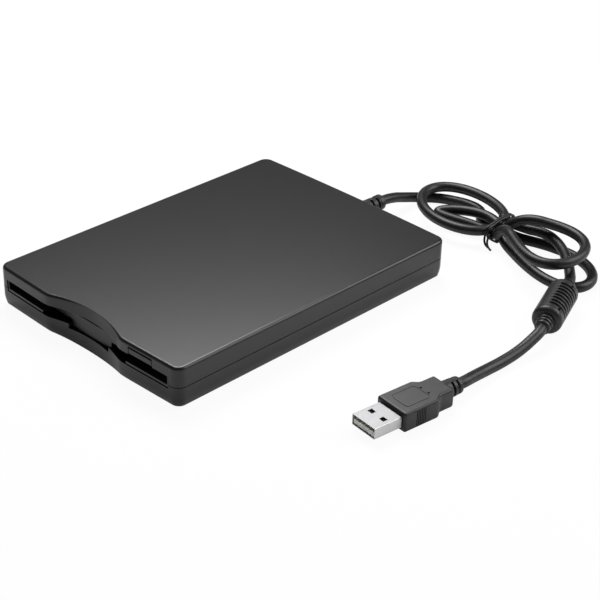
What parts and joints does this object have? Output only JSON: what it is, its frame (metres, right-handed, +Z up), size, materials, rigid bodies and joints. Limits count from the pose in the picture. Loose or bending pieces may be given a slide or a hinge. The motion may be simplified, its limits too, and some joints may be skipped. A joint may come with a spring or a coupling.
{
  "type": "external floppy disk drive",
  "caption": "Slim external floppy disk drive with a dust door, an eject button, an inner disk mechanism and a tied cable that ends in a ferrite and a flat plug.",
  "frame": {"origin": "on the table, under the middle of the drive's case, its cable left out", "axes": "+X across the case to the right as seen from the slot, +Y from the slot to the back, +Z up"},
  "size_m": [0.168, 0.2004, 0.017],
  "materials": {
    "case_plastic": "satin black",
    "door_plastic": "matt black",
    "rubber": "matt",
    "cable_rubber": "satin",
    "moulded_black": "satin",
    "sheet_steel": "plated sheet",
    "bright_steel": "bright",
    "brass": "plated",
    "copper": "enamelled wire",
    "board": "lacquered",
    "chip": "matt",
    "pale_plastic": "satin",
    "amber_film": "film",
    "ferrite": "sintered"
  },
  "bodies": {
    "case": {"top_cover": "case_plastic", "bottom_case": "case_plastic", "front_bezel": "door_plastic", "rubber_foot_1": "rubber", "rubber_foot_2": "rubber", "rubber_foot_3": "rubber", "rubber_foot_4": "rubber", "strain_relief": "cable_rubber", "cable_lead": "cable_rubber", "cable_hank": "cable_rubber", "cable_link": "cable_rubber", "cable_tail": "cable_rubber", "hank_tie": "cable_rubber", "ferrite_cover": "moulded_black", "plug_overmould": "moulded_black", "chassis_frame": "sheet_steel", "mechanism_top_plate": "sheet_steel", "stepper_motor": "sheet_steel", "stepper_bracket": "sheet_steel", "rear_case_screw_1": "bright_steel", "rear_case_screw_2": "bright_steel", "front_case_screw_1": "bright_steel", "front_case_screw_2": "bright_steel", "mechanism_screw_1": "bright_steel", "mechanism_screw_2": "bright_steel", "dust_door_spring": "bright_steel", "slider_spring": "bright_steel", "guide_rod": "bright_steel", "plug_shell": "bright_steel", "spindle_bearing": "brass", "plug_contacts": "brass", "stator_coils": "copper", "spindle_motor_board": "board", "control_board": "board", "usb_bridge_board": "board", "drive_chip": "chip", "bridge_chip": "chip", "left_switches": "chip", "right_switch": "chip", "guide_rod_bracket": "pale_plastic", "flat_cable": "pale_plastic", "cable_header": "pale_plastic", "plug_tongue": "pale_plastic", "head_flat_lead": "amber_film", "ferrite_core": "ferrite"},
    "dust_door": {"dust_door": "door_plastic"},
    "eject_slider": {"eject_button": "case_plastic", "eject_slider": "sheet_steel"},
    "disk_carrier": {"disk_carrier": "sheet_steel"},
    "spindle": {"spindle_rotor": "sheet_steel"},
    "head_carriage": {"head_carriage": "chip", "lower_head": "pale_plastic", "head_arm_spring": "bright_steel"},
    "head_arm": {"upper_head_arm": "sheet_steel", "upper_head": "pale_plastic"},
    "lead_screw": {"lead_screw": "bright_steel"},
    "shutter_lever": {"shutter_lever": "bright_steel"},
    "write_protect_switch": {"write_protect_plunger": "pale_plastic"},
    "density_switch": {"density_plunger": "pale_plastic"},
    "disk_in_switch": {"disk_in_plunger": "pale_plastic"}
  },
  "joints": [
    {"name": "dust_door_swing", "type": "hinge", "parent": "case", "child": "dust_door", "pos_m": [0, -0.06714, 0.0129], "axis": [1, 0, 0], "range_deg": [0, 86], "stiffness_Nm_per_rad": 0.004},
    {"name": "eject_slide", "type": "slide", "parent": "case", "child": "eject_slider", "axis": [0, -1, 0], "range_m": [0, 0.0045], "deforming": ["slider_spring"]},
    {"name": "carrier_drop", "type": "slide", "parent": "case", "child": "disk_carrier", "axis": [0, 0, -1], "range_m": [0, 0.002]},
    {"name": "spindle_spin", "type": "hinge", "parent": "case", "child": "spindle", "pos_m": [0, -0.02104, 0.006], "axis": [0, 0, 1], "continuous": true},
    {"name": "carriage_slide", "type": "slide", "parent": "case", "child": "head_carriage", "axis": [0, -1, 0], "range_m": [0, 0.0148], "deforming": ["head_flat_lead"]},
    {"name": "lead_screw_spin", "type": "hinge", "parent": "case", "child": "lead_screw", "pos_m": [-0.0096, 0.02896, 0.0074], "axis": [0, -1, 0], "range_deg": [0, 1780]},
    {"name": "head_arm_lower", "type": "hinge", "parent": "head_carriage", "child": "head_arm", "pos_m": [0, 0.04396, 0.01], "axis": [1, 0, 0], "range_deg": [0, 10.31]},
    {"name": "shutter_lever_swing", "type": "hinge", "parent": "case", "child": "shutter_lever", "pos_m": [0.04, 0.03096, 0.0099], "axis": [0, 0, -1], "range_deg": [0, 45], "stiffness_Nm_per_rad": 0.004},
    {"name": "write_protect_press", "type": "slide", "parent": "case", "child": "write_protect_switch", "axis": [0, 0, -1], "range_m": [0, 0.0015], "stiffness_N_per_m": 60},
    {"name": "density_press", "type": "slide", "parent": "case", "child": "density_switch", "axis": [0, 0, -1], "range_m": [0, 0.0015], "stiffness_N_per_m": 60},
    {"name": "disk_in_press", "type": "slide", "parent": "case", "child": "disk_in_switch", "axis": [0, 0, -1], "range_m": [0, 0.0015], "stiffness_N_per_m": 60}
  ],
  "couplings": [
    {"joint": "carrier_drop", "follows": "eject_slide", "ratio": 0.44444},
    {"joint": "head_arm_lower", "follows": "eject_slide", "rad_per_m": 39.949},
    {"joint": "lead_screw_spin", "follows": "carriage_slide", "rad_per_m": 2094.4}
  ]
}
